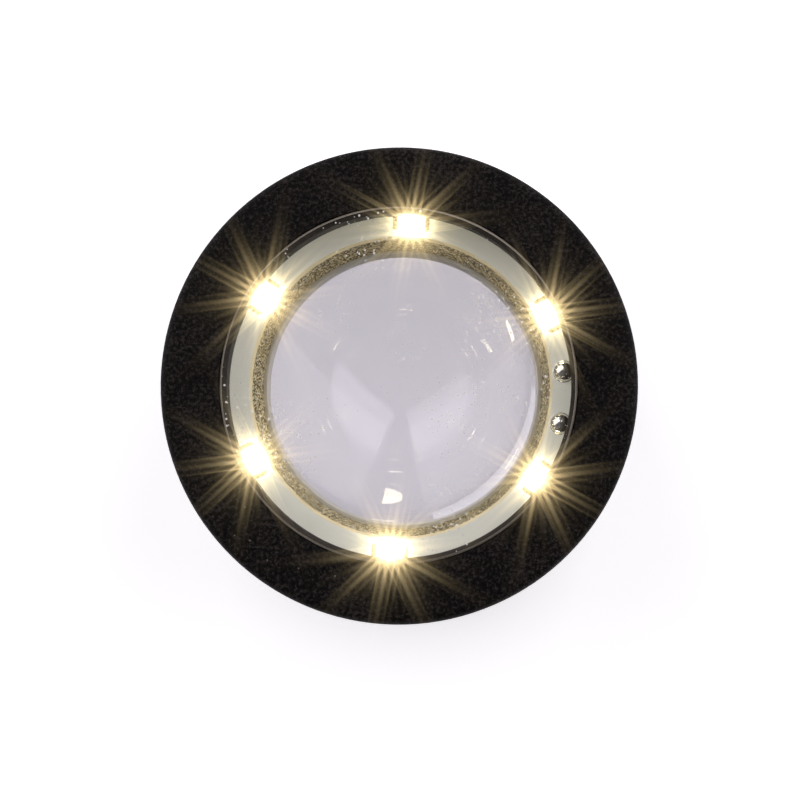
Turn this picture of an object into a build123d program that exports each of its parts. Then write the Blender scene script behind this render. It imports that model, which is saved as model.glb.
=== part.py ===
"""Low vision magnifier: a round, hand-held, lit reading magnifier that works face down on the page.

It lies here on its eye cup, lit side up. The origin is the centre of the eye cup's flat rim, +Z runs
along the optical axis and out of the lit page face, and +X runs between the two solder domes on the
light ring, over the battery cap. The power button is on the -Y side. All sizes are in millimetres.
"""

import os
from math import cos, radians, sin, sqrt

from build123d import *

# ---------------------------------------------------------------- driving dimensions
FACE_RADIUS = 32.0          # outer radius of the page face, the widest part
HEIGHT = 42.0               # eye cup rim to page face
EDGE_ROUND = 1.2            # round on the page face's outer edge

WINDOW_RADIUS = 23.95       # clear disc over the lights and the lens
WINDOW_THICK = 1.5
WINDOW_CHAMFER = 0.3
WINDOW_BELOW_FACE = 0.05
RECESS_RADIUS = 24.1        # recess that takes the window
LEDGE_RADIUS = 23.1         # ledge that the window rests on
GASKET_THICK = 0.25

BOARD_DEPTH = 6.9           # page face to the light ring's white surface
BOARD_THICK = 1.0
BOARD_INNER_RADIUS = 20.2
BOARD_OUTER_RADIUS = 24.2

LED_COUNT = 6
LED_PITCH_RADIUS = 22.3
LED_FIRST_ANGLE = 30.0
LED_LENGTH = 3.6            # along the ring
LED_WIDTH = 2.6             # across the ring
LED_TALL = 0.9
LED_WELL_RADIUS = 1.1
LED_WELL_DEPTH = 0.3
PHOSPHOR_THICK = 0.25
TERMINAL_LENGTH = 0.65
TERMINAL_WIDTH = 2.2
TERMINAL_TALL = 0.4

DOME_ANGLE = 9.15           # either side of +X
DOME_PITCH_RADIUS = 22.2
DOME_RADIUS = 1.5
DOME_TALL = 1.1

LENS_RADIUS = 19.45
LENS_BORE_RADIUS = 19.5
LENS_OPENING_RADIUS = 19.05
PAGE_LENS_CLEAR_RADIUS = 18.6
PAGE_LENS_UNDER_RADIUS = 18.37  # polished radius of the page lens's lower face
EYE_LENS_CLEAR_RADIUS = 18.3
PAGE_LENS_TOP_CURVE = 126.2     # every face bulges towards the eye
PAGE_LENS_UNDER_CURVE = 27.2
PAGE_LENS_UNDER_Z = 20.46       # lowest point of the page lens
EYE_LENS_TOP_CURVE = 61.8
EYE_LENS_TOP_Z = 16.76
EYE_LENS_UNDER_CURVE = 33.7
EYE_LENS_UNDER_Z = 11.74
BARREL_RADIUS = 20.9
BARREL_FLAT = 20.25         # flat on the barrel behind the battery holder
FLANGE_THICK = 0.8

BODY_RADIUS = 31.6
BODY_WALL = 1.6
BODY_BOTTOM = 8.4
BEZEL_SKIRT = 7.0           # height of the page-side cover
COVER_BOTTOM = 5.0
FLOOR_THICK = 1.8
GRIP_GROOVE_RADIUS = 1.3
GRIP_GROOVE_STEP = 6        # degrees from groove to groove

SCREW_PITCH_RADIUS = 27.9
SCREW_ANGLES = (45, 135, 225, 315)
POST_RADIUS = 2.4
SCREW_HOLE_RADIUS = 1.15
SCREW_RADIUS = 1.0
SCREW_HEAD_RADIUS = 1.9
SCREW_HEAD_TALL = 1.3

CELL_RADIUS = 10.0          # two 20 mm by 3.2 mm lithium coin cells
CELL_THICK = 3.2
CELL_CENTRE_Z = 21.4
FIRST_CELL_X = 21.5
HOLDER_FLOOR_X = 20.3
HOLDER_INNER_RADIUS = 10.25
HOLDER_OUTER_RADIUS = 11.0
HOLDER_END_X = 26.0

CONTACT_THICK = 0.25
HOLDER_PLATE = (27.2, 17.0)
HOLDER_LEG_PITCH = (26.0, 13.0)
HOLDER_LEG = (1.2, 3.0)
HOLDER_LEG_TALL = 6.4
CLIP_START_X = 24.9         # sprung side clip that touches the outer cell's can

CAP_FLAT_X = 29.15          # flat on the body's side around the battery cap
CAP_PAD_X = 27.6            # inner face of the thickened wall behind that flat
CAP_RADIUS = 11.4
CAP_HOLE_RADIUS = 11.55
CAP_OUTER_X = 29.7
LUG_RADIUS = 12.3
LUG_NOTCH_RADIUS = 12.5
LUG_WIDTH = 3.2
LUG_REST_ANGLE = -45.0      # locked; a 45 degree turn lines the lugs up with the notches

BUTTON_Z = 22.0
BUTTON_RADIUS = 5.0
BUTTON_HOLE_RADIUS = 5.1
BUTTON_FLANGE_RADIUS = 5.9
BUTTON_FLAT_Y = -30.6
BUTTON_PAD_Y = -29.0
BUTTON_FACE_Y = -31.8
BUTTON_FLAT_SIZE = 15.6
SWITCH_FRONT_Y = -26.4
SWITCH_BOARD_Y = -24.8      # front of the switch's circuit board
SWITCH_BOARD_THICK = 1.0
SWITCH_BOARD_WIDTH = 16.5
SWITCH_BOARD_TALL = 15.0
BUTTON_TRAVEL = 0.6
WIRE_RADIUS = 0.45

# ---------------------------------------------------------------- worked-out heights
ledge_z = HEIGHT - WINDOW_BELOW_FACE - WINDOW_THICK - GASKET_THICK
board_top = HEIGHT - BOARD_DEPTH
board_bottom = board_top - BOARD_THICK
flange_bottom = board_bottom - FLANGE_THICK
shoulder_z = HEIGHT - 5.6
seam_z = HEIGHT - BEZEL_SKIRT
plate_under_z = HEIGHT - 2.2
collar_bottom = flange_bottom + 0.1
lens_seat_z = HEIGHT - 12.17

os.makedirs("parts", exist_ok=True)


def save(builder, name):
    """Label a finished piece and write its STEP file."""
    builder.part.label = name
    export_step(builder.part, f"parts/{name}.step")


def around(radius, degrees, z=0.0):
    """The point at this radius and angle about the optical axis."""
    return (radius * cos(radians(degrees)), radius * sin(radians(degrees)), z)


def sag(curve_radius, radius):
    """How far a spherical face has curved away at a given radius."""
    return curve_radius - sqrt(curve_radius**2 - radius**2)


screw_places = [around(SCREW_PITCH_RADIUS, angle) for angle in SCREW_ANGLES]
led_angles = [LED_FIRST_ANGLE + 360 / LED_COUNT * n for n in range(LED_COUNT)]
dome_places = [around(DOME_PITCH_RADIUS, angle) for angle in (-DOME_ANGLE, DOME_ANGLE)]
cell_centre = (0, CELL_CENTRE_Z)


# ---------------------------------------------------------------- page-side cover, window and gasket
def make_front_bezel():
    skirt_inner = BODY_RADIUS - 1.4
    collar_inner = BOARD_OUTER_RADIUS + 0.2
    collar_outer = 25.3
    with BuildPart() as front_bezel:
        with BuildSketch(Plane.XZ):
            with BuildLine():
                Polyline(
                    (FACE_RADIUS, HEIGHT - EDGE_ROUND),
                    (FACE_RADIUS, seam_z),
                    (skirt_inner, seam_z),
                    (skirt_inner, plate_under_z),
                    (collar_outer, plate_under_z),
                    (collar_outer, collar_bottom),
                    (collar_inner, collar_bottom),
                    (collar_inner, shoulder_z),
                    (LEDGE_RADIUS, shoulder_z),
                    (LEDGE_RADIUS, ledge_z),
                    (RECESS_RADIUS, ledge_z),
                    (RECESS_RADIUS, HEIGHT),
                    (FACE_RADIUS - EDGE_ROUND, HEIGHT),
                )
                RadiusArc((FACE_RADIUS - EDGE_ROUND, HEIGHT), (FACE_RADIUS, HEIGHT - EDGE_ROUND), EDGE_ROUND)
            make_face()
        revolve(axis=Axis.Z)
        # ribs under the ledge that hold the light ring down, midway between the lights
        with BuildSketch(Plane.XY.offset(board_top)):
            with PolarLocations(24.1, 6):
                Rectangle(1.0, 3.0)
        extrude(amount=shoulder_z - board_top + 0.2)
        with BuildSketch(Plane.XY.offset(seam_z)):
            with Locations(*screw_places):
                Circle(POST_RADIUS + 0.2)
        extrude(amount=plate_under_z - seam_z + 0.1)
        with Locations(Plane.XY.offset(seam_z)):
            with Locations(*screw_places):
                Cylinder(0.8, 4.0, align=(Align.CENTER, Align.CENTER, Align.MIN), mode=Mode.SUBTRACT)
    save(front_bezel, "front_bezel")


def make_window():
    top = HEIGHT - WINDOW_BELOW_FACE
    with BuildPart() as window:
        with BuildSketch(Plane.XY.offset(top - WINDOW_THICK)):
            Circle(WINDOW_RADIUS)
        extrude(amount=WINDOW_THICK)
        chamfer(window.faces().sort_by(Axis.Z)[-1].edges(), WINDOW_CHAMFER)
    save(window, "window")

    with BuildPart() as window_gasket:
        with BuildSketch(Plane.XY.offset(ledge_z)):
            Circle(WINDOW_RADIUS)
            Circle(LEDGE_RADIUS, mode=Mode.SUBTRACT)
        extrude(amount=GASKET_THICK)
    save(window_gasket, "window_gasket")


# ---------------------------------------------------------------- light ring
def make_light_ring():
    with BuildPart() as led_board:
        with BuildSketch(Plane.XY.offset(board_bottom)):
            Circle(BOARD_OUTER_RADIUS)
            Circle(BOARD_INNER_RADIUS, mode=Mode.SUBTRACT)
            with Locations(*dome_places):
                Circle(WIRE_RADIUS + 0.1, mode=Mode.SUBTRACT)
        extrude(amount=BOARD_THICK)
    save(led_board, "led_board")

    led_top = board_top + LED_TALL
    with BuildPart() as led_packages:
        with BuildSketch(Plane.XY.offset(board_top)):
            with PolarLocations(LED_PITCH_RADIUS, LED_COUNT, start_angle=LED_FIRST_ANGLE):
                Rectangle(LED_WIDTH, LED_LENGTH)
        extrude(amount=LED_TALL)
        chamfer(led_packages.edges().filter_by(Axis.Z), 0.25)
        with BuildSketch(Plane.XY.offset(led_top)):
            with PolarLocations(LED_PITCH_RADIUS, LED_COUNT, start_angle=LED_FIRST_ANGLE):
                Circle(LED_WELL_RADIUS)
        extrude(amount=-LED_WELL_DEPTH, mode=Mode.SUBTRACT)
    save(led_packages, "led_packages")

    with BuildPart() as led_phosphors:
        with BuildSketch(Plane.XY.offset(led_top - LED_WELL_DEPTH)):
            with PolarLocations(LED_PITCH_RADIUS, LED_COUNT, start_angle=LED_FIRST_ANGLE):
                Circle(LED_WELL_RADIUS)
        extrude(amount=PHOSPHOR_THICK)
    save(led_phosphors, "led_phosphors")

    side = (LED_LENGTH + TERMINAL_LENGTH) / 2
    with BuildPart() as led_terminals:
        with BuildSketch(Plane.XY.offset(board_top)):
            with PolarLocations(LED_PITCH_RADIUS, LED_COUNT, start_angle=LED_FIRST_ANGLE):
                with Locations((0, side), (0, -side)):
                    Rectangle(TERMINAL_WIDTH, TERMINAL_LENGTH)
        extrude(amount=TERMINAL_TALL)
        chamfer(led_terminals.edges().group_by(Axis.Z)[-1], 0.15)
    save(led_terminals, "led_terminals")

    dome_curve = (DOME_RADIUS**2 + DOME_TALL**2) / (2 * DOME_TALL)
    with BuildPart() as solder_domes:
        with Locations(Plane.XY.offset(board_top + DOME_TALL - dome_curve)):
            with Locations(*dome_places):
                Sphere(dome_curve)
        split(bisect_by=Plane.XY.offset(board_top), keep=Keep.TOP)
    save(solder_domes, "solder_domes")


# ---------------------------------------------------------------- barrel and lenses
def make_lens_barrel():
    cone_end = lens_seat_z + 0.37
    with BuildPart() as lens_barrel:
        with BuildSketch(Plane.XZ):
            with BuildLine():
                Polyline(
                    (BOARD_INNER_RADIUS, board_bottom),
                    (BOARD_OUTER_RADIUS, board_bottom),
                    (BOARD_OUTER_RADIUS, flange_bottom),
                    (BARREL_RADIUS, flange_bottom),
                    (BARREL_RADIUS, COVER_BOTTOM + 0.9),
                    (LENS_BORE_RADIUS, COVER_BOTTOM + 0.9),
                    (LENS_BORE_RADIUS, lens_seat_z),
                    (LENS_OPENING_RADIUS, lens_seat_z),
                    (LENS_OPENING_RADIUS, cone_end),
                    close=True,
                )
            make_face()
        revolve(axis=Axis.Z)
        with BuildSketch(Plane.XY.offset(flange_bottom)):
            with Locations(*dome_places):
                Circle(WIRE_RADIUS + 0.3)
        extrude(amount=FLANGE_THICK, mode=Mode.SUBTRACT)
        with BuildSketch(Plane.XY.offset(COVER_BOTTOM)):
            with Locations((BARREL_FLAT + 2, 0)):
                Rectangle(4, 16)
        extrude(amount=flange_bottom - COVER_BOTTOM, mode=Mode.SUBTRACT)
    save(lens_barrel, "lens_barrel")


def make_lenses():
    # page lens: nearly flat towards the window, strongly domed towards the eye
    page_rim = lens_seat_z + 0.35
    page_under_rim = PAGE_LENS_UNDER_Z + sag(PAGE_LENS_UNDER_CURVE, PAGE_LENS_UNDER_RADIUS)
    page_top = page_rim - sag(PAGE_LENS_TOP_CURVE, PAGE_LENS_CLEAR_RADIUS)
    with BuildPart() as page_lens:
        with BuildSketch(Plane.XZ):
            with BuildLine():
                RadiusArc((0, page_top), (PAGE_LENS_CLEAR_RADIUS, page_rim), -PAGE_LENS_TOP_CURVE)
                Polyline(
                    (PAGE_LENS_CLEAR_RADIUS, page_rim),
                    (LENS_OPENING_RADIUS, lens_seat_z),
                    (LENS_RADIUS, lens_seat_z),
                    (LENS_RADIUS, page_under_rim),
                    (PAGE_LENS_UNDER_RADIUS, page_under_rim),
                )
                RadiusArc(
                    (PAGE_LENS_UNDER_RADIUS, page_under_rim),
                    (0, PAGE_LENS_UNDER_Z),
                    PAGE_LENS_UNDER_CURVE,
                )
                Line((0, PAGE_LENS_UNDER_Z), (0, page_top))
            make_face()
        revolve(axis=Axis.Z)
    save(page_lens, "page_lens")

    # eye lens: a deep meniscus
    eye_rim = EYE_LENS_TOP_Z + sag(EYE_LENS_TOP_CURVE, EYE_LENS_CLEAR_RADIUS)
    eye_under_rim = EYE_LENS_UNDER_Z + sag(EYE_LENS_UNDER_CURVE, EYE_LENS_CLEAR_RADIUS)
    with BuildPart() as eye_lens:
        with BuildSketch(Plane.XZ):
            with BuildLine():
                RadiusArc((0, EYE_LENS_TOP_Z), (EYE_LENS_CLEAR_RADIUS, eye_rim), -EYE_LENS_TOP_CURVE)
                Polyline(
                    (EYE_LENS_CLEAR_RADIUS, eye_rim),
                    (LENS_RADIUS, eye_rim),
                    (LENS_RADIUS, eye_under_rim),
                    (EYE_LENS_CLEAR_RADIUS, eye_under_rim),
                )
                RadiusArc(
                    (EYE_LENS_CLEAR_RADIUS, eye_under_rim),
                    (0, EYE_LENS_UNDER_Z),
                    EYE_LENS_UNDER_CURVE,
                )
                Line((0, EYE_LENS_UNDER_Z), (0, EYE_LENS_TOP_Z))
            make_face()
        revolve(axis=Axis.Z)
    save(eye_lens, "eye_lens")

    with BuildPart() as lens_spacer:
        with BuildSketch(Plane.XY.offset(eye_rim)):
            Circle(LENS_RADIUS)
            Circle(PAGE_LENS_UNDER_RADIUS + 0.08, mode=Mode.SUBTRACT)
        extrude(amount=page_under_rim - eye_rim)
    save(lens_spacer, "lens_spacer")

    ring_inner = 17.5
    ring_tall = 2.5
    ring_bottom = eye_under_rim - ring_tall
    with BuildPart() as lens_retaining_ring:
        with BuildSketch(Plane.XZ):
            with BuildLine():
                Polyline(
                    (LENS_RADIUS, ring_bottom),
                    (LENS_RADIUS, eye_under_rim),
                    (EYE_LENS_CLEAR_RADIUS + 0.05, eye_under_rim),
                    (ring_inner, eye_under_rim - 0.8),
                    (ring_inner + 0.6, ring_bottom),
                    close=True,
                )
            make_face()
        revolve(axis=Axis.Z)
        # two slots for the pin spanner that turns the ring
        with BuildSketch(Plane.XY.offset(ring_bottom)):
            Rectangle(2 * LENS_RADIUS + 1, 2.0)
        extrude(amount=1.1, mode=Mode.SUBTRACT)
    save(lens_retaining_ring, "lens_retaining_ring")


# ---------------------------------------------------------------- body
def groove_angles():
    """Grip grooves go all round, apart from the battery flat and the button flat."""
    clear_of_cap = range(36, 325, GRIP_GROOVE_STEP)
    return [a for a in clear_of_cap if abs(a - 270) > 20]


def make_body_shell():
    inner = BODY_RADIUS - BODY_WALL
    lip_outer = BODY_RADIUS - 1.5
    lip_inner = lip_outer - 1.1
    with BuildPart() as body_shell:
        with BuildSketch(Plane.XY.offset(BODY_BOTTOM)):
            Circle(BODY_RADIUS)
            Circle(inner, mode=Mode.SUBTRACT)
        extrude(amount=seam_z - BODY_BOTTOM)
        with BuildSketch(Plane.XY.offset(seam_z - 1.5)):
            Circle(lip_outer)
            Circle(lip_inner, mode=Mode.SUBTRACT)
            with Locations(*screw_places):
                Circle(POST_RADIUS + 0.5, mode=Mode.SUBTRACT)
        extrude(amount=3.0)
        with BuildSketch(Plane.XY.offset(BODY_BOTTOM)):
            with Locations(*screw_places):
                Circle(POST_RADIUS)
        extrude(amount=seam_z - BODY_BOTTOM)
        # thick wall behind the battery flat and behind the button flat
        with BuildSketch(Plane.XY.offset(BODY_BOTTOM)):
            Circle(BODY_RADIUS - 0.1)
            with Locations((CAP_PAD_X + 10, 0)):
                Rectangle(20, 28.4, mode=Mode.INTERSECT)
        extrude(amount=seam_z - BODY_BOTTOM)
        with BuildSketch(Plane.XY.offset(BUTTON_Z - 8)):
            Circle(BODY_RADIUS - 0.1)
            with Locations((0, BUTTON_PAD_Y - 10)):
                Rectangle(19.2, 20, mode=Mode.INTERSECT)
        extrude(amount=16)
        # upright rails, grooved for the switch board's edges
        with BuildSketch(Plane.XY.offset(BUTTON_Z - 8)):
            with Locations((8.85, -26.1), (-8.85, -26.1)):
                Rectangle(1.5, 5.8)
            with Locations((0, -24.3)):
                Rectangle(16.7, 1.1, mode=Mode.SUBTRACT)
        extrude(amount=16)
        with BuildSketch(Plane.XY.offset(BODY_BOTTOM)):
            with Locations(*screw_places):
                Circle(SCREW_HOLE_RADIUS)
        extrude(amount=seam_z - BODY_BOTTOM, mode=Mode.SUBTRACT)
        # battery flat, round opening and bayonet notches
        with BuildSketch(Plane.XY.offset(BODY_BOTTOM)):
            with Locations((CAP_FLAT_X + 5, 0)):
                Rectangle(10, 40)
        extrude(amount=CELL_CENTRE_Z + 12.4 - BODY_BOTTOM, mode=Mode.SUBTRACT)
        with BuildSketch(Plane.YZ.offset(CAP_PAD_X - 1)):
            with Locations(cell_centre):
                Circle(CAP_HOLE_RADIUS)
                Rectangle(2 * LUG_NOTCH_RADIUS, LUG_WIDTH + 0.6)
        extrude(amount=8, mode=Mode.SUBTRACT)
        with BuildSketch(Plane.YZ.offset(CAP_PAD_X - 1.5)):
            with Locations(cell_centre):
                Circle(LUG_NOTCH_RADIUS)
        extrude(amount=1.5, mode=Mode.SUBTRACT)
        # button flat and hole
        with BuildSketch(Plane.XZ.offset(-BUTTON_FLAT_Y)):
            with Locations((0, BUTTON_Z)):
                RectangleRounded(BUTTON_FLAT_SIZE, BUTTON_FLAT_SIZE, 4)
        extrude(amount=4, mode=Mode.SUBTRACT)
        with BuildSketch(Plane.XZ.offset(-BUTTON_PAD_Y - 1)):
            with Locations((0, BUTTON_Z)):
                Circle(BUTTON_HOLE_RADIUS)
        extrude(amount=6, mode=Mode.SUBTRACT)
        # grip grooves
        with BuildSketch(Plane.XY.offset(BODY_BOTTOM + 4)):
            with Locations(*[around(BODY_RADIUS + 0.75, a) for a in groove_angles()]):
                Circle(GRIP_GROOVE_RADIUS)
        extrude(amount=seam_z - BODY_BOTTOM - 7, mode=Mode.SUBTRACT)
    save(body_shell, "body_shell")


def make_rear_cover():
    opening = 20.0
    collar_inner = BARREL_RADIUS + 0.1
    collar_outer = 22.6
    floor_top = COVER_BOTTOM + FLOOR_THICK
    edge_round = 1.4
    with BuildPart() as rear_cover:
        with BuildSketch(Plane.XZ):
            with BuildLine():
                Polyline(
                    (BODY_RADIUS, COVER_BOTTOM + edge_round),
                    (BODY_RADIUS, BODY_BOTTOM),
                    (BODY_RADIUS - BODY_WALL, BODY_BOTTOM),
                    (BODY_RADIUS - BODY_WALL, floor_top),
                    (collar_outer, floor_top),
                    (collar_outer, 9.8),
                    (collar_inner, 9.8),
                    (collar_inner, COVER_BOTTOM + 0.9),
                    (opening, COVER_BOTTOM + 0.9),
                    (opening, COVER_BOTTOM),
                    (23.0, COVER_BOTTOM),
                    (23.0, COVER_BOTTOM + 1.2),
                    (24.6, COVER_BOTTOM + 1.2),
                    (24.6, COVER_BOTTOM),
                    (BODY_RADIUS - edge_round, COVER_BOTTOM),
                )
                RadiusArc(
                    (BODY_RADIUS - edge_round, COVER_BOTTOM),
                    (BODY_RADIUS, COVER_BOTTOM + edge_round),
                    -edge_round,
                )
            make_face()
        revolve(axis=Axis.Z)
        with BuildSketch(Plane.XY.offset(COVER_BOTTOM + 1.5)):
            with Locations(*screw_places):
                Circle(3.3)
            Circle(BODY_RADIUS - 0.1, mode=Mode.INTERSECT)
        extrude(amount=BODY_BOTTOM - COVER_BOTTOM - 1.5)
        # thick wall behind the battery flat, under the body's own
        with BuildSketch(Plane.XY.offset(COVER_BOTTOM + 1.5)):
            Circle(BODY_RADIUS - 0.1)
            with Locations((CAP_PAD_X + 10, 0)):
                Rectangle(20, 28.4, mode=Mode.INTERSECT)
        extrude(amount=BODY_BOTTOM - COVER_BOTTOM - 1.5)
        with BuildSketch(Plane.XY.offset(COVER_BOTTOM)):
            with Locations(*screw_places):
                Circle(SCREW_HOLE_RADIUS)
        extrude(amount=4, mode=Mode.SUBTRACT)
        with BuildSketch(Plane.XY.offset(COVER_BOTTOM)):
            with Locations(*screw_places):
                Circle(SCREW_HEAD_RADIUS + 0.2)
        extrude(amount=FLOOR_THICK, mode=Mode.SUBTRACT)
        with BuildSketch(Plane.XY.offset(COVER_BOTTOM)):
            with Locations((CAP_FLAT_X + 5, 0)):
                Rectangle(10, 40)
        extrude(amount=5, mode=Mode.SUBTRACT)
    save(rear_cover, "rear_cover")

    seat = COVER_BOTTOM + FLOOR_THICK
    with BuildPart() as assembly_screws:
        with BuildSketch(Plane.XY.offset(seat - SCREW_HEAD_TALL)):
            with Locations(*screw_places):
                Circle(SCREW_HEAD_RADIUS)
        extrude(amount=SCREW_HEAD_TALL)
        chamfer(assembly_screws.edges().group_by(Axis.Z)[0], 0.4)
        with BuildSketch(Plane.XY.offset(seat)):
            with Locations(*screw_places):
                Circle(SCREW_RADIUS)
        extrude(amount=seam_z - seat)
        with BuildSketch(Plane.XY.offset(seam_z)):
            with Locations(*screw_places):
                Circle(0.8)
        extrude(amount=3.8)
        # cross recess in each head
        with BuildSketch(Plane.XY.offset(seat - SCREW_HEAD_TALL)):
            with Locations(*screw_places):
                Rectangle(2.0, 0.5)
                Rectangle(0.5, 2.0)
        extrude(amount=0.8, mode=Mode.SUBTRACT)
    save(assembly_screws, "assembly_screws")


def make_eye_cup():
    with BuildPart() as eye_cup:
        with BuildSketch(Plane.XZ):
            with BuildLine():
                Polyline(
                    (21.4, 0),
                    (24.2, 0),
                    (25.2, 1.0),
                    (25.2, 1.8),
                    (24.7, 2.2),
                    (24.7, 3.0),
                    (25.7, 3.5),
                    (25.7, COVER_BOTTOM),
                    (24.55, COVER_BOTTOM),
                    (24.55, COVER_BOTTOM + 1.2),
                    (23.05, COVER_BOTTOM + 1.2),
                    (23.05, COVER_BOTTOM),
                    (20.2, COVER_BOTTOM),
                    (20.5, 1.0),
                    close=True,
                )
            make_face()
        revolve(axis=Axis.Z)
    save(eye_cup, "eye_cup")


# ---------------------------------------------------------------- battery compartment
def make_battery_holder():
    floor_thick = 0.7
    tube_start = HOLDER_FLOOR_X + floor_thick
    with BuildPart() as battery_holder:
        with BuildSketch(Plane.YZ.offset(HOLDER_FLOOR_X)):
            with Locations(cell_centre):
                Circle(HOLDER_OUTER_RADIUS)
                RectangleRounded(*HOLDER_PLATE, 1.5)
        extrude(amount=floor_thick)
        with BuildSketch(Plane.YZ.offset(tube_start)):
            with Locations(cell_centre):
                Circle(HOLDER_OUTER_RADIUS)
                Circle(HOLDER_INNER_RADIUS, mode=Mode.SUBTRACT)
        extrude(amount=HOLDER_END_X - tube_start)
        with BuildSketch(Plane.YZ.offset(HOLDER_FLOOR_X)):
            with Locations(cell_centre):
                with GridLocations(*HOLDER_LEG_PITCH, 2, 2):
                    Rectangle(*HOLDER_LEG)
        extrude(amount=HOLDER_LEG_TALL)
        # slots for the two contact tabs
        with BuildSketch(Plane.YZ.offset(tube_start)):
            with Locations((10.6, CELL_CENTRE_Z)):
                Rectangle(2, 3.4)
        extrude(amount=0.5, mode=Mode.SUBTRACT)
        clip_slot_x = CLIP_START_X - 0.1
        with BuildSketch(Plane.YZ.offset(clip_slot_x)):
            with Locations((-10.7, CELL_CENTRE_Z)):
                Rectangle(1.6, 4.4)
        extrude(amount=HOLDER_END_X - clip_slot_x, mode=Mode.SUBTRACT)
    save(battery_holder, "battery_holder")

    with BuildPart() as negative_contact:
        with BuildSketch(Plane.YZ.offset(tube_start)):
            with Locations(cell_centre):
                Circle(6.0)
            with Locations((8.0, CELL_CENTRE_Z)):
                Rectangle(8.8, 3.0)
        extrude(amount=CONTACT_THICK)
        with BuildSketch(Plane.YZ.offset(tube_start + CONTACT_THICK)):
            with Locations(cell_centre):
                Circle(2.5)
        extrude(amount=FIRST_CELL_X - tube_start - CONTACT_THICK)
    save(negative_contact, "negative_contact")

    with BuildPart() as positive_clip:
        with BuildSketch(Plane.YZ.offset(CLIP_START_X)):
            with Locations((-10.12, CELL_CENTRE_Z)):
                Rectangle(0.2, 4.0)
        extrude(amount=HOLDER_END_X - CLIP_START_X)
        with BuildSketch(Plane.YZ.offset(CLIP_START_X + 0.1)):
            with Locations((-11.25, CELL_CENTRE_Z)):
                Rectangle(2.3, 3.0)
        extrude(amount=CONTACT_THICK)
    save(positive_clip, "positive_clip")


def make_coin_cell(name, start_x):
    cup_step = 0.4
    with BuildPart() as coin_cell:
        with BuildSketch(Plane.YZ.offset(start_x)):
            with Locations(cell_centre):
                Circle(8.7)
        extrude(amount=cup_step)
        with BuildSketch(Plane.YZ.offset(start_x + cup_step)):
            with Locations(cell_centre):
                Circle(CELL_RADIUS)
        extrude(amount=CELL_THICK - cup_step)
        fillet(coin_cell.edges().filter_by(GeomType.CIRCLE).group_by(Axis.X)[-1], 0.3)
    save(coin_cell, name)


def make_battery_cap():
    plate_back = FIRST_CELL_X + 2 * CELL_THICK + 0.2
    skirt_start = HOLDER_END_X + 0.2
    with BuildPart() as battery_cap:
        with BuildSketch(Plane.YZ.offset(plate_back)):
            with Locations(cell_centre):
                Circle(CAP_RADIUS)
        extrude(amount=CAP_OUTER_X - plate_back)
        chamfer(battery_cap.edges().group_by(Axis.X)[-1], 0.5)
        with BuildSketch(Plane.YZ.offset(skirt_start)):
            with Locations(cell_centre):
                Circle(CAP_RADIUS)
                Circle(CAP_RADIUS - 0.9, mode=Mode.SUBTRACT)
        extrude(amount=plate_back - skirt_start)
        with BuildSketch(Plane.YZ.offset(skirt_start)):
            with Locations(Location((0, CELL_CENTRE_Z), LUG_REST_ANGLE)):
                Rectangle(2 * LUG_RADIUS, LUG_WIDTH)
                Circle(CAP_RADIUS - 0.5, mode=Mode.SUBTRACT)
        extrude(amount=CAP_PAD_X - 0.15 - skirt_start)
        # coin slot, and a small sunk dot that shows which way up the cap is locked
        with BuildSketch(Plane.YZ.offset(CAP_OUTER_X)):
            with Locations(cell_centre):
                SlotOverall(15, 1.9)
        extrude(amount=-0.9, mode=Mode.SUBTRACT)
        with BuildSketch(Plane.YZ.offset(CAP_OUTER_X)):
            with Locations((0, CELL_CENTRE_Z + 8.6)):
                Circle(0.7)
        extrude(amount=-0.3, mode=Mode.SUBTRACT)
    save(battery_cap, "battery_cap")

    with BuildPart() as cap_pad:
        with BuildSketch(Plane.YZ.offset(plate_back - 0.2)):
            with Locations(cell_centre):
                Circle(8.0)
        extrude(amount=0.2)
    save(cap_pad, "cap_pad")


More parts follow.
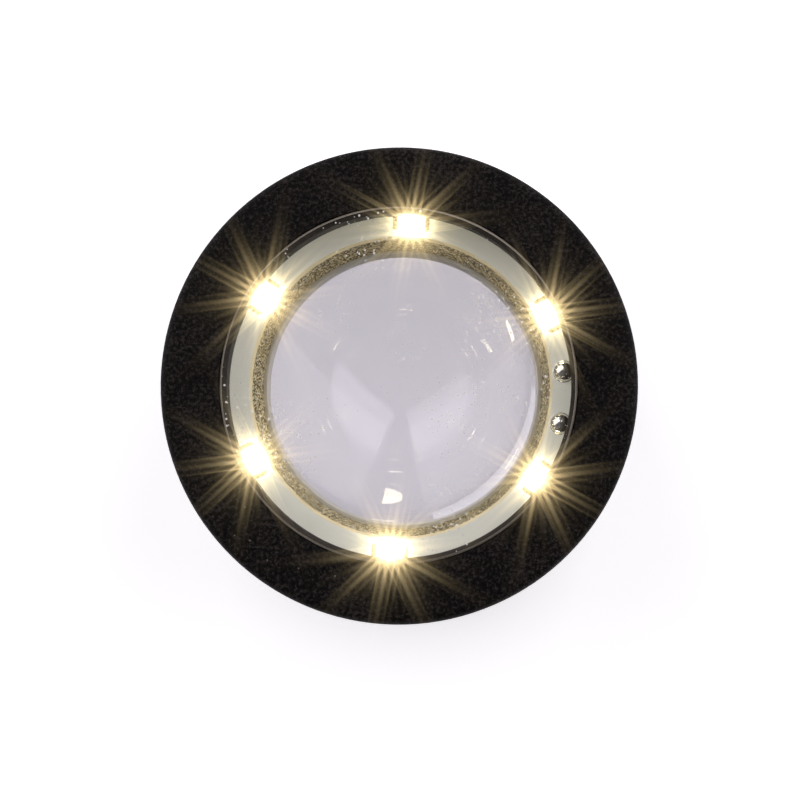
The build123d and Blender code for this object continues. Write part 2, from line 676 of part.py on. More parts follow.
# ---------------------------------------------------------------- switch
def make_switch():
    flange_thick = 0.75
    flange_back = BUTTON_PAD_Y + 0.05 + flange_thick
    plunger_tip = -27.3
    well_deep = 1.5
    plunger_end = SWITCH_FRONT_Y + well_deep - BUTTON_TRAVEL - 0.1
    with BuildPart() as power_button:
        with BuildSketch(Plane.XZ.offset(-BUTTON_PAD_Y - 0.05)):
            with Locations((0, BUTTON_Z)):
                Circle(BUTTON_RADIUS)
        extrude(amount=BUTTON_PAD_Y + 0.05 - BUTTON_FACE_Y)
        fillet(power_button.faces().sort_by(Axis.Y)[0].edges(), 0.7)
        with BuildSketch(Plane.XZ.offset(-flange_back)):
            with Locations((0, BUTTON_Z)):
                Circle(BUTTON_FLANGE_RADIUS)
        extrude(amount=flange_thick)
        with BuildSketch(Plane.XZ.offset(-flange_back)):
            with Locations((0, BUTTON_Z)):
                Circle(1.4)
        extrude(amount=plunger_tip - flange_back)
        # thumb dish
        dish_curve = 14.0
        with Locations((0, BUTTON_FACE_Y - dish_curve + 0.45, BUTTON_Z)):
            Sphere(dish_curve, mode=Mode.SUBTRACT)
    save(power_button, "power_button")

    with BuildPart() as switch_plunger:
        with BuildSketch(Plane.XZ.offset(-plunger_tip)):
            with Locations((0, BUTTON_Z)):
                Circle(1.55)
        extrude(amount=plunger_tip - plunger_end)
    save(switch_plunger, "switch_plunger")

    with BuildPart() as push_switch:
        with BuildSketch(Plane.XZ.offset(-SWITCH_FRONT_Y)):
            with Locations((0, BUTTON_Z)):
                RectangleRounded(6.2, 6.2, 0.6)
        extrude(amount=SWITCH_FRONT_Y - SWITCH_BOARD_Y)
        with BuildSketch(Plane.XZ.offset(-SWITCH_FRONT_Y)):
            with Locations((0, BUTTON_Z)):
                Circle(1.65)
        extrude(amount=-well_deep, mode=Mode.SUBTRACT)
    save(push_switch, "push_switch")

    with BuildPart() as switch_board:
        with BuildSketch(Plane.XZ.offset(-SWITCH_BOARD_Y)):
            with Locations((0, BUTTON_Z)):
                Rectangle(SWITCH_BOARD_WIDTH, SWITCH_BOARD_TALL)
        extrude(amount=-SWITCH_BOARD_THICK)
    save(switch_board, "switch_board")

    with BuildPart() as switch_resistors:
        with BuildSketch(Plane.XZ.offset(-SWITCH_BOARD_Y - SWITCH_BOARD_THICK)):
            with Locations((0, BUTTON_Z)):
                with GridLocations(3.0, 4.0, 3, 2):
                    Rectangle(1.25, 2.0)
        extrude(amount=-0.55)
    save(switch_resistors, "switch_resistors")


def make_wire(name, points, bend):
    """A round insulated wire through the points, with a soft bend at each corner."""
    with BuildPart() as wire:
        with BuildLine() as route:
            FilletPolyline(*points, radius=bend)
        with BuildSketch(Plane(origin=route.line @ 0, z_dir=route.line % 0)):
            Circle(WIRE_RADIUS)
        sweep()
    save(wire, name)


def make_wires():
    under_ring = flange_bottom - 0.55
    red_dome, black_dome = dome_places
    make_wire(
        "light_wire_red",
        [
            (red_dome[0], red_dome[1], board_top),
            (red_dome[0], red_dome[1], under_ring),
            around(22.7, -30, under_ring),
            around(23.1, -50, under_ring),
            around(23.3, -68, under_ring - 0.5),
            (5.0, -22.8, 30.0),
            (5.0, -23.35, 26.5),
        ],
        0.8,
    )
    make_wire(
        "light_wire_black",
        [
            (black_dome[0], black_dome[1], board_top),
            (black_dome[0], black_dome[1], under_ring),
            (21.7, 11.7, under_ring),
            (21.7, 11.7, CELL_CENTRE_Z - 1.0),
        ],
        0.8,
    )
    make_wire(
        "battery_wire_red",
        [
            (25.72, -11.0, CELL_CENTRE_Z),
            (25.72, -13.2, CELL_CENTRE_Z),
            (24.6, -14.7, CELL_CENTRE_Z),
            (22.5, -15.4, CELL_CENTRE_Z),
            (19.0, -15.8, CELL_CENTRE_Z),
            (15.5, -17.4, CELL_CENTRE_Z),
            (11.5, -20.6, CELL_CENTRE_Z - 1.5),
            (7.8, -22.3, CELL_CENTRE_Z - 3.0),
            (4.5, -23.35, CELL_CENTRE_Z - 3.6),
        ],
        0.8,
    )


make_front_bezel()
make_window()
make_light_ring()
make_lens_barrel()
make_lenses()
make_body_shell()
make_rear_cover()
make_eye_cup()
make_battery_holder()
make_coin_cell("inner_cell", FIRST_CELL_X)
make_coin_cell("outer_cell", FIRST_CELL_X + CELL_THICK)
make_battery_cap()
make_switch()
make_wires()
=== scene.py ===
"""Low vision magnifier, lit, lying on its eye cup with the lit page side up.

Everything is in metres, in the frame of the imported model: +Z is the optical axis, out of the page side.
"""

from math import cos, hypot, pi, radians, sin, sqrt

import bmesh
import bpy
from mathutils import Matrix, Vector


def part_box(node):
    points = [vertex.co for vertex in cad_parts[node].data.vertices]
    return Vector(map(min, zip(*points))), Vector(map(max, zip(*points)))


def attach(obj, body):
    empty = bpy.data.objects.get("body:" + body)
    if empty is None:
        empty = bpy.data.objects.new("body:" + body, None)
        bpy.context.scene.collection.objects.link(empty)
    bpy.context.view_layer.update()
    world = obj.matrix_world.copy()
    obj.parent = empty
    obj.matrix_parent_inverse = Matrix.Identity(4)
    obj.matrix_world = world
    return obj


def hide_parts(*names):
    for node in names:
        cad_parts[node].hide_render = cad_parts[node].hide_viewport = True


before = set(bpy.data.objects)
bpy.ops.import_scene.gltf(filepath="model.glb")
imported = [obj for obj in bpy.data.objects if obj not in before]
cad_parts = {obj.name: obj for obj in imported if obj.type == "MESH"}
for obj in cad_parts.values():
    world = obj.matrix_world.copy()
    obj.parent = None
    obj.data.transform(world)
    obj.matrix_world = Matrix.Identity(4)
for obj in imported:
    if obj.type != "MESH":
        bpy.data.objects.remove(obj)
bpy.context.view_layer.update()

MM = 0.001

# ---------------------------------------------------------------- sizes, from the frame where it has them
face_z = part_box("front_bezel")[1].z
face_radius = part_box("front_bezel")[1].x
window_low, window_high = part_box("window")
window_radius = window_high.x
board_low, board_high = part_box("led_board")
board_top = board_high.z
board_radius = board_high.x
package_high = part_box("led_packages")[1].z
lens_low, lens_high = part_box("page_lens")
eye_low, eye_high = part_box("eye_lens")
barrel_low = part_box("lens_barrel")[0]
cup_low, cup_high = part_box("eye_cup")

edge_round = 1.2 * MM
board_hole_radius = 20.2 * MM
led_ring_radius = 22.3 * MM
led_count = 6
led_first_angle = radians(30)
dome_ring_radius = 22.2 * MM
dome_angle = radians(9.15)
barrel_radius = 20.9 * MM
lens_opening = 19.05 * MM
lens_clear = 18.6 * MM
lens_lip = 0.35 * MM
ROUND_STEPS = 192


# ---------------------------------------------------------------- mesh helpers
def finish_piece(name, mesh, body, material, replaced=(), smooth_angle=35):
    """Link a finished mesh as one piece of the object, riding on its body."""
    mesh.name = name
    for polygon in mesh.polygons:
        polygon.use_smooth = True
    mesh.set_sharp_from_angle(angle=radians(smooth_angle))
    piece = bpy.data.objects.new(name, mesh)
    bpy.context.scene.collection.objects.link(piece)
    if material is not None:
        mesh.materials.clear()
        mesh.materials.append(material)
    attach(piece, body)
    if replaced:
        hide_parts(*replaced)
    return piece


def mesh_of(bm, name):
    """Turn a bmesh into a mesh with outward normals."""
    bmesh.ops.remove_doubles(bm, verts=bm.verts, dist=1e-7)
    bmesh.ops.recalc_face_normals(bm, faces=bm.faces)
    mesh = bpy.data.meshes.new(name)
    bm.to_mesh(mesh)
    bm.free()
    return mesh


def lathe(profile, steps=ROUND_STEPS, closed=True):
    """Turn an outline of (radius, height) points about the optical axis."""
    bm = bmesh.new()
    rings = []
    for radius, height in profile:
        if radius < 1e-6:
            rings.append([bm.verts.new((0, 0, height))])
            continue
        turn = [2 * pi * n / steps for n in range(steps)]
        rings.append([bm.verts.new((radius * cos(a), radius * sin(a), height)) for a in turn])
    pairs = list(zip(rings, rings[1:]))
    if closed:
        pairs.append((rings[-1], rings[0]))
    for lower, upper in pairs:
        for n in range(steps):
            corners = [lower[n % len(lower)], lower[(n + 1) % len(lower)]]
            corners += [upper[(n + 1) % len(upper)], upper[n % len(upper)]]
            corners = list(dict.fromkeys(corners))
            if len(corners) > 2:
                bm.faces.new(corners)
    return mesh_of(bm, "turned")


def arc(centre, radius, start, end, count=6):
    """Points of an arc in the (radius, height) plane, angles in degrees."""
    angles = [radians(start + (end - start) * n / count) for n in range(count + 1)]
    return [(centre[0] + radius * cos(a), centre[1] + radius * sin(a)) for a in angles]


def smoothed_copy(node, body, material, bevel=0.0, smooth_angle=32):
    """A merged, smooth-shaded copy of a CAD node, with softened edges, standing for that node."""
    bm = bmesh.new()
    bm.from_mesh(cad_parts[node].data)
    bmesh.ops.remove_doubles(bm, verts=bm.verts, dist=2e-6)
    bmesh.ops.dissolve_limit(bm, angle_limit=radians(0.4), verts=bm.verts, edges=bm.edges)
    mesh = bpy.data.meshes.new(node)
    bm.to_mesh(mesh)
    bm.free()
    piece = finish_piece(node + "_finished", mesh, body, material, (node,), smooth_angle)
    if bevel:
        softener = piece.modifiers.new("edge_softening", "BEVEL")
        softener.width = bevel
        softener.segments = 2
        softener.limit_method = "ANGLE"
        softener.angle_limit = radians(50)
        softener.harden_normals = True
    return piece


# ---------------------------------------------------------------- geometry node trees
def socket_id(tree, name):
    return next(s.identifier for s in tree.interface.items_tree if s.name == name)


def ring_tree():
    """Copies of one small shape, evenly spaced round the optical axis and turned to face it."""
    tree = bpy.data.node_groups.new("ring_of_copies", "GeometryNodeTree")
    face = tree.interface
    face.new_socket("Shape", in_out="INPUT", socket_type="NodeSocketObject")
    face.new_socket("Count", in_out="INPUT", socket_type="NodeSocketInt")
    face.new_socket("Radius", in_out="INPUT", socket_type="NodeSocketFloat")
    face.new_socket("First Angle", in_out="INPUT", socket_type="NodeSocketFloat")
    face.new_socket("Height", in_out="INPUT", socket_type="NodeSocketFloat")
    face.new_socket("Finish", in_out="INPUT", socket_type="NodeSocketMaterial")
    face.new_socket("Geometry", in_out="OUTPUT", socket_type="NodeSocketGeometry")
    new = tree.nodes.new
    link = tree.links.new
    given = new("NodeGroupInput")
    circle = new("GeometryNodeMeshCircle")
    link(given.outputs["Count"], circle.inputs["Vertices"])
    link(given.outputs["Radius"], circle.inputs["Radius"])
    shape = new("GeometryNodeObjectInfo")
    link(given.outputs["Shape"], shape.inputs["Object"])
    index = new("GeometryNodeInputIndex")
    step = new("ShaderNodeMath")
    step.operation = "DIVIDE"
    step.inputs[0].default_value = 2 * pi
    link(given.outputs["Count"], step.inputs[1])
    turn = new("ShaderNodeMath")
    turn.operation = "MULTIPLY"
    link(index.outputs[0], turn.inputs[0])
    link(step.outputs[0], turn.inputs[1])
    angle = new("ShaderNodeCombineXYZ")
    link(turn.outputs[0], angle.inputs["Z"])
    copies = new("GeometryNodeInstanceOnPoints")
    link(circle.outputs["Mesh"], copies.inputs["Points"])
    link(shape.outputs["Geometry"], copies.inputs["Instance"])
    link(angle.outputs[0], copies.inputs["Rotation"])
    place = new("GeometryNodeTransform")
    lift = new("ShaderNodeCombineXYZ")
    start = new("ShaderNodeCombineXYZ")
    link(given.outputs["Height"], lift.inputs["Z"])
    link(given.outputs["First Angle"], start.inputs["Z"])
    link(copies.outputs[0], place.inputs["Geometry"])
    link(lift.outputs[0], place.inputs["Translation"])
    link(start.outputs[0], place.inputs["Rotation"])
    solid = new("GeometryNodeRealizeInstances")
    link(place.outputs[0], solid.inputs[0])
    coat = new("GeometryNodeSetMaterial")
    link(solid.outputs[0], coat.inputs["Geometry"])
    link(given.outputs["Finish"], coat.inputs["Material"])
    link(coat.outputs[0], new("NodeGroupOutput").inputs[0])
    return tree


def ring_of(shape_mesh, count, radius, first_angle, height, material):
    """A plain mesh of the copies that the ring tree makes."""
    shape = bpy.data.objects.new("shape", shape_mesh)
    carrier = bpy.data.objects.new("carrier", bpy.data.meshes.new("carrier"))
    for thing in (shape, carrier):
        bpy.context.scene.collection.objects.link(thing)
    maker = carrier.modifiers.new("ring", "NODES")
    maker.node_group = RING_TREE
    values = {
        "Shape": shape,
        "Count": count,
        "Radius": radius,
        "First Angle": first_angle,
        "Height": height,
        "Finish": material,
    }
    for name, value in values.items():
        maker[socket_id(RING_TREE, name)] = value
    graph = bpy.context.evaluated_depsgraph_get()
    mesh = bpy.data.meshes.new_from_object(carrier.evaluated_get(graph), depsgraph=graph)
    for thing in (carrier, shape):
        bpy.data.objects.remove(thing)
    mesh.materials.clear()
    mesh.materials.append(material)
    for polygon in mesh.polygons:
        polygon.material_index = 0
    return mesh


RING_TREE = ring_tree()


# ---------------------------------------------------------------- materials
def start_material(name):
    material = bpy.data.materials.new(name)
    material.use_nodes = True
    tree = material.node_tree
    tree.nodes.clear()
    output = tree.nodes.new("ShaderNodeOutputMaterial")
    shader = tree.nodes.new("ShaderNodeBsdfPrincipled")
    tree.links.new(shader.outputs[0], output.inputs[0])
    return material, tree, shader


def noise(tree, scale, detail=3.0, roughness=0.55, stretch=(1, 1, 1)):
    where = tree.nodes.new("ShaderNodeTexCoord")
    fit = tree.nodes.new("ShaderNodeMapping")
    fit.inputs["Scale"].default_value = stretch
    tree.links.new(where.outputs["Object"], fit.inputs["Vector"])
    pattern = tree.nodes.new("ShaderNodeTexNoise")
    pattern.inputs["Scale"].default_value = scale
    pattern.inputs["Detail"].default_value = detail
    pattern.inputs["Roughness"].default_value = roughness
    tree.links.new(fit.outputs[0], pattern.inputs["Vector"])
    return pattern.outputs["Fac"]


def ramp(tree, value, *stops):
    """Colour by value; each stop is (position, (r, g, b))."""
    node = tree.nodes.new("ShaderNodeValToRGB")
    bar = node.color_ramp
    while len(bar.elements) < len(stops):
        bar.elements.new(0.5)
    for element, (position, colour) in zip(bar.elements, stops):
        element.position = position
        element.color = (*colour, 1.0)
    tree.links.new(value, node.inputs[0])
    return node.outputs["Color"]


def spread(tree, value, low, high, from_low=0.3, from_high=0.7):
    """A number that runs from low to high as value does."""
    node = tree.nodes.new("ShaderNodeMapRange")
    node.inputs["From Min"].default_value = from_low
    node.inputs["From Max"].default_value = from_high
    node.inputs["To Min"].default_value = low
    node.inputs["To Max"].default_value = high
    tree.links.new(value, node.inputs["Value"])
    return node.outputs["Result"]


def maths(tree, operation, first, second):
    node = tree.nodes.new("ShaderNodeMath")
    node.operation = operation
    for socket, value in zip(node.inputs, (first, second)):
        if isinstance(value, (int, float)):
            socket.default_value = value
        else:
            tree.links.new(value, socket)
    return node.outputs[0]


def bump(tree, shader, height, strength, depth):
    node = tree.nodes.new("ShaderNodeBump")
    node.inputs["Strength"].default_value = strength
    node.inputs["Distance"].default_value = depth
    tree.links.new(height, node.inputs["Height"])
    tree.links.new(node.outputs[0], shader.inputs["Normal"])


def grained(name, dark, light, rough, grain_size, grain_depth, specular=0.4, scuff=0.06):
    """A moulded or cast finish: fine grain, cloudy colour and faint rubbed streaks."""
    material, tree, shader = start_material(name)
    fine = noise(tree, 1 / grain_size, 4.0, 0.6)
    cloud = noise(tree, 90.0, 2.0)
    streak = noise(tree, 260.0, 5.0, 0.7, (1.0, 0.12, 1.0))
    blend = maths(tree, "ADD", maths(tree, "MULTIPLY", fine, 0.7), maths(tree, "MULTIPLY", cloud, 0.3))
    tree.links.new(ramp(tree, blend, (0.32, dark), (0.68, light)), shader.inputs["Base Color"])
    worn = maths(tree, "SUBTRACT", spread(tree, fine, rough - 0.06, rough + 0.08),
                 spread(tree, streak, 0.0, scuff, 0.52, 0.75))
    tree.links.new(worn, shader.inputs["Roughness"])
    shader.inputs["Specular IOR Level"].default_value = specular
    bump(tree, shader, fine, 0.5, grain_depth)
    return material


def matt_black(name, reach, tones, lint, specular):
    """Spark-eroded black moulding: mottle, fine pits, and a few pale lint flecks."""
    material, tree, shader = start_material(name)
    fine = noise(tree, 1 / (0.5 * MM), 5.0, 0.8)
    cloud = noise(tree, 160.0, 3.0)
    blend = maths(tree, "ADD", maths(tree, "MULTIPLY", fine, 0.85), maths(tree, "MULTIPLY", cloud, 0.15))
    dark, middle, light = tones
    base = ramp(tree, blend, (0.5 - reach, dark), (0.5, middle), (0.5 + reach, light))
    flecked = tree.nodes.new("ShaderNodeMix")
    flecked.data_type = "RGBA"
    tree.links.new(flecks(tree, 420.0, lint, 45.0, 0.42, 0.7), flecked.inputs["Factor"])
    tree.links.new(base, flecked.inputs["A"])
    flecked.inputs["B"].default_value = (0.10, 0.085, 0.07, 1)
    tree.links.new(flecked.outputs["Result"], shader.inputs["Base Color"])
    tree.links.new(spread(tree, fine, 0.5, 0.68), shader.inputs["Roughness"])
    shader.inputs["Specular IOR Level"].default_value = specular
    bump(tree, shader, fine, 0.5, 0.03 * MM)
    return material


def flecks(tree, scale, size, patch_scale, patch_low, patch_high):
    """1 on small round specks, crowded where a slow noise is high, 0 elsewhere."""
    where = tree.nodes.new("ShaderNodeTexCoord")
    cells = tree.nodes.new("ShaderNodeTexVoronoi")
    cells.inputs["Scale"].default_value = scale
    cells.inputs["Randomness"].default_value = 1.0
    tree.links.new(where.outputs["Object"], cells.inputs["Vector"])
    patch = spread(tree, noise(tree, patch_scale, 2.0), 0.0, size, patch_low, patch_high)
    return maths(tree, "LESS_THAN", cells.outputs["Distance"], patch)


def metal(name, dark, light, rough, line_scale=(1, 1, 8), fine_scale=900.0):
    """Bare or plated metal with drawn lines and slight tarnish."""
    material, tree, shader = start_material(name)
    lines = noise(tree, fine_scale, 4.0, 0.6, line_scale)
    tarnish = noise(tree, 180.0, 3.0)
    tree.links.new(ramp(tree, tarnish, (0.3, dark), (0.7, light)), shader.inputs["Base Color"])
    tree.links.new(spread(tree, lines, rough * 0.7, rough * 1.4), shader.inputs["Roughness"])
    shader.inputs["Metallic"].default_value = 1.0
    bump(tree, shader, lines, 0.15, 0.01 * MM)
    return material


def clear(name, tint, index, speck=0.0, speck_scale=900.0):
    """Polished clear plastic that lets light through to what is behind it; speck is the size of its dust."""
    material, tree, shader = start_material(name)
    shader.inputs["Base Color"].default_value = (*tint, 1)
    shader.inputs["Roughness"].default_value = 0.0
    shader.inputs["IOR"].default_value = index
    shader.inputs["Transmission Weight"].default_value = 1.0
    output = next(n for n in tree.nodes if n.type == "OUTPUT_MATERIAL")
    through = tree.nodes.new("ShaderNodeBsdfTransparent")
    through.inputs[0].default_value = (*tint, 1)
    path = tree.nodes.new("ShaderNodeLightPath")
    either = maths(tree, "MAXIMUM", path.outputs["Is Shadow Ray"], path.outputs["Is Diffuse Ray"])
    mix = tree.nodes.new("ShaderNodeMixShader")
    tree.links.new(either, mix.inputs[0])
    tree.links.new(shader.outputs[0], mix.inputs[1])
    tree.links.new(through.outputs[0], mix.inputs[2])
    last = mix
    if speck:
        grain = flecks(tree, speck_scale, speck, 70.0, 0.40, 0.58)
        dust = tree.nodes.new("ShaderNodeBsdfDiffuse")
        dust.inputs["Color"].default_value = (0.92, 0.90, 0.84, 1)
        dusty = tree.nodes.new("ShaderNodeMixShader")
        tree.links.new(maths(tree, "MULTIPLY", grain, 0.8), dusty.inputs[0])
        tree.links.new(mix.outputs[0], dusty.inputs[1])
        tree.links.new(dust.outputs[0], dusty.inputs[2])
        last = dusty
    tree.links.new(last.outputs[0], output.inputs[0])
    return material


def lit_phosphor(name, strength):
    material, tree, shader = start_material(name)
    mottle = noise(tree, 2600.0, 2.0)
    colour = ramp(tree, mottle, (0.3, (1.0, 0.84, 0.52)), (0.7, (1.0, 0.92, 0.66)))
    tree.links.new(colour, shader.inputs["Base Color"])
    tree.links.new(colour, shader.inputs["Emission Color"])
    shader.inputs["Emission Strength"].default_value = strength
    shader.inputs["Roughness"].default_value = 0.5
    return material


def throat_painted_light():
    """The barrel's cone under the lights: coarse black grain with painted light, olive to bright gold
    standing for the warm LED light and its glints, with bright dust on it.
    """
    material, tree, shader = start_material("barrel_throat_painted_light")
    fine = noise(tree, 1 / (0.3 * MM), 4.0, 0.7)
    # painted light and painted glints: the ramp lifts the black grain to olive and bright gold
    base = ramp(tree, fine, (0.42, (0.022, 0.016, 0.006)), (0.50, (0.26, 0.205, 0.10)),
                (0.57, (0.96, 0.84, 0.52)))
    specked = tree.nodes.new("ShaderNodeMix")
    specked.data_type = "RGBA"
    tree.links.new(flecks(tree, 1500.0, 0.42, 120.0, 0.35, 0.65), specked.inputs["Factor"])
    tree.links.new(base, specked.inputs["A"])
    specked.inputs["B"].default_value = (0.62, 0.58, 0.46, 1)
    tree.links.new(specked.outputs["Result"], shader.inputs["Base Color"])
    tree.links.new(spread(tree, fine, 0.45, 0.65), shader.inputs["Roughness"])
    shader.inputs["Specular IOR Level"].default_value = 0.3
    bump(tree, shader, fine, 0.6, 0.05 * MM)
    return material


def glowing_package(name, glow):
    """White moulded package, lit from inside, so that its walls glow."""
    material = grained(name, (0.74, 0.72, 0.64), (0.86, 0.84, 0.76), 0.42, 0.12 * MM, 0.004 * MM)
    shader = next(n for n in material.node_tree.nodes if n.type == "BSDF_PRINCIPLED")
    shader.inputs["Emission Color"].default_value = (1.0, 0.90, 0.60, 1)
    shader.inputs["Emission Strength"].default_value = glow
    return material


def solder_mask():
    """White ring coating with painted light: a faint emission, warmer towards +Y, stands in for the LED light
    falling on it; ripple over the tracks, pin-prick gloss.
    """
    material, tree, shader = start_material("white_solder_mask")
    cloud = noise(tree, 140.0, 4.0)
    fine = noise(tree, 2600.0, 3.0)
    colour = ramp(tree, cloud, (0.3, (0.74, 0.75, 0.66)), (0.7, (0.84, 0.84, 0.76)))
    tree.links.new(colour, shader.inputs["Base Color"])
    tree.links.new(spread(tree, fine, 0.3, 0.5), shader.inputs["Roughness"])
    where = tree.nodes.new("ShaderNodeTexCoord")
    split = tree.nodes.new("ShaderNodeSeparateXYZ")
    tree.links.new(where.outputs["Object"], split.inputs[0])
    # painted light: the emission colour runs from pale cream at -Y to warmer gold at +Y, as the LED light
    # falls on the ring
    across = spread(tree, split.outputs["Y"], 0.0, 1.0, -board_radius, board_radius)
    tree.links.new(ramp(tree, across, (0.0, (1.0, 0.95, 0.82)), (1.0, (1.0, 0.92, 0.66))),
                   shader.inputs["Emission Color"])
    shader.inputs["Emission Strength"].default_value = RING_PAINTED_LIGHT
    bump(tree, shader, maths(tree, "ADD", cloud, maths(tree, "MULTIPLY", fine, 0.3)), 0.25, 0.02 * MM)
    return material


# how strongly each part of a light glows
LIGHT_STRENGTH = 60.0
HALO_STRENGTH = 8.0
PACKAGE_TOP_GLOW = 8.0
PACKAGE_SIDE_GLOW = 40.0
RING_PAINTED_LIGHT = 0.14            # painted light on the ring's coating, standing in for the LED light that falls on it
FLOOR_GLOW = 0.6

# rays: each set is (first angle in degrees, gain, fade)
RAY_THRESHOLD = 7.6
RAY_COUNT = 10
RAY_SETS = ((7, 2.6, 0.94), (25, 2.0, 0.915))
RAY_TINT = (1.0, 0.87, 0.66, 1.0)
BLOOM_TINT = (1.0, 0.72, 0.36, 1.0)
BLOOM_THRESHOLD = 3.0
BLOOM_GAIN = 0.19

FACE_TONES = ((0.0004, 0.0003, 0.0003), (0.0038, 0.0030, 0.0027), (0.030, 0.0245, 0.0225))
SIDE_TONES = ((0.0045, 0.0040, 0.0038), (0.0090, 0.0080, 0.0076), (0.021, 0.0188, 0.018))
BLACK_FACE = matt_black("black_face", 0.08, FACE_TONES, 0.07, 0.08)
BLACK_MOULDING = matt_black("black_moulding", 0.16, SIDE_TONES, 0.035, 0.26)
BARREL_THROAT_PAINTED_LIGHT = throat_painted_light()
BARREL_BLACK = grained("black_barrel", (0.010, 0.009, 0.008), (0.026, 0.024, 0.021), 0.55,
                       0.3 * MM, 0.03 * MM)
RUBBER = grained("soft_rubber", (0.014, 0.014, 0.014), (0.03, 0.029, 0.029), 0.78, 0.3 * MM, 0.02 * MM, 0.3)
GASKET = grained("dark_adhesive", (0.035, 0.03, 0.024), (0.085, 0.072, 0.058), 0.8, 0.25 * MM, 0.03 * MM, 0.3)
GREY_BUTTON = grained("grey_button", (0.16, 0.165, 0.17), (0.22, 0.225, 0.23), 0.5, 0.25 * MM, 0.01 * MM)
ANODISED = metal("black_aluminium", (0.02, 0.02, 0.022), (0.045, 0.045, 0.05), 0.32)
SCREW = metal("dark_screw", (0.10, 0.10, 0.105), (0.20, 0.20, 0.21), 0.35)
SOLDER = metal("bright_solder", (0.72, 0.68, 0.58), (0.92, 0.90, 0.84), 0.12, (1, 1, 1), 1500.0)
NICKEL = metal("nickel_spring", (0.55, 0.52, 0.47), (0.75, 0.72, 0.68), 0.22)
CELL_STEEL = metal("cell_steel", (0.55, 0.55, 0.55), (0.72, 0.72, 0.72), 0.28)
SOLDER_MASK = solder_mask()
HOUSING_WHITE = grained("white_housing", (0.74, 0.73, 0.68), (0.86, 0.85, 0.80), 0.42, 0.12 * MM, 0.004 * MM)
NATURAL_NYLON = grained("natural_nylon", (0.62, 0.61, 0.57), (0.76, 0.75, 0.71), 0.5, 0.2 * MM, 0.01 * MM)
BOARD_EDGE = grained("board_edge", (0.80, 0.68, 0.40), (0.95, 0.86, 0.60), 0.5, 0.12 * MM, 0.01 * MM)
CUT_EDGE = grained("cut_window_edge", (0.12, 0.10, 0.08), (0.50, 0.45, 0.37), 0.4, 0.15 * MM, 0.01 * MM)
GROUND_EDGE = grained("ground_lens_edge", (0.78, 0.77, 0.72), (0.94, 0.93, 0.88), 0.45, 0.08 * MM, 0.01 * MM)
GREEN_BOARD = grained("green_board", (0.02, 0.10, 0.04), (0.04, 0.17, 0.07), 0.35, 0.4 * MM, 0.01 * MM)
SWITCH_BLACK = grained("switch_black", (0.015, 0.015, 0.015), (0.04, 0.04, 0.04), 0.5, 0.2 * MM, 0.01 * MM)
RESISTOR = grained("resistor_black", (0.012, 0.012, 0.013), (0.03, 0.03, 0.03), 0.25, 0.3 * MM, 0.005 * MM)
FOAM = grained("foam_pad", (0.03, 0.03, 0.03), (0.08, 0.08, 0.08), 0.9, 0.3 * MM, 0.08 * MM, 0.2)
RED_WIRE = grained("red_wire", (0.36, 0.018, 0.012), (0.52, 0.03, 0.02), 0.45, 0.5 * MM, 0.005 * MM)
BLACK_WIRE = grained("black_wire", (0.012, 0.012, 0.012), (0.03, 0.03, 0.03), 0.45, 0.5 * MM, 0.005 * MM)
WINDOW_CLEAR = clear("clear_acrylic", (0.985, 0.985, 0.98), 1.49, speck=0.2, speck_scale=1250.0)
LENS_CLEAR = clear("lens_acrylic", (0.975, 0.962, 0.998), 1.49)
PHOSPHOR = lit_phosphor("lit_phosphor", HALO_STRENGTH)
PHOSPHOR_CORE = lit_phosphor("lit_phosphor_core", LIGHT_STRENGTH)
PACKAGE_TOP = glowing_package("white_package", PACKAGE_TOP_GLOW)
PACKAGE_SIDE = glowing_package("white_package_wall", PACKAGE_SIDE_GLOW)


# ---------------------------------------------------------------- page side: cover, window, light ring
def make_window():
    chamfer = 0.3 * MM
    low, high = window_low.z, window_high.z
    profile = [
        (0, low),
        (window_radius - 0.1 * MM, low),
        (window_radius, low + 0.1 * MM),
        (window_radius, high - chamfer),
        (window_radius - chamfer, high),
        (0, high),
    ]
    disc = finish_piece("window_disc", lathe(profile, closed=False), "body",
                        WINDOW_CLEAR, ("window",), 20)
    disc.data.materials.append(CUT_EDGE)
    for polygon in disc.data.polygons:
        if hypot(polygon.center.x, polygon.center.y) > window_radius - chamfer:
            polygon.material_index = 1


def make_light_ring():
    low, edge, chamfer = board_low.z, board_hole_radius, 0.35 * MM
    profile = [
        (board_radius, low),
        (board_radius, board_top - 0.05 * MM),
        (board_radius - 0.05 * MM, board_top),
        (edge + chamfer, board_top),
        (edge, board_top - chamfer),
        (edge, low),
    ]
    ring = finish_piece("light_ring_board", lathe(profile), "body",
                        SOLDER_MASK, ("led_board",), 25)
    ring.data.materials.append(BOARD_EDGE)
    for polygon in ring.data.polygons:
        middle = polygon.center
        if hypot(middle.x, middle.y) < edge + chamfer * 0.9:
            polygon.material_index = 1


def rounded_block(length, width, low, high, bevel, segments=2):
    """A block with its sides and top softened; length is radial, width is along the ring."""
    bm = bmesh.new()
    bmesh.ops.create_cube(bm, size=1.0)
    for v in bm.verts:
        v.co = Vector((v.co.x * length, v.co.y * width, low if v.co.z < 0 else high))
    edges = [e for e in bm.edges if min(v.co.z for v in e.verts) > low or e.verts[0].co.z != e.verts[1].co.z]
    bmesh.ops.bevel(bm, geom=edges, offset=bevel, segments=segments, affect="EDGES", profile=0.5)
    return bm


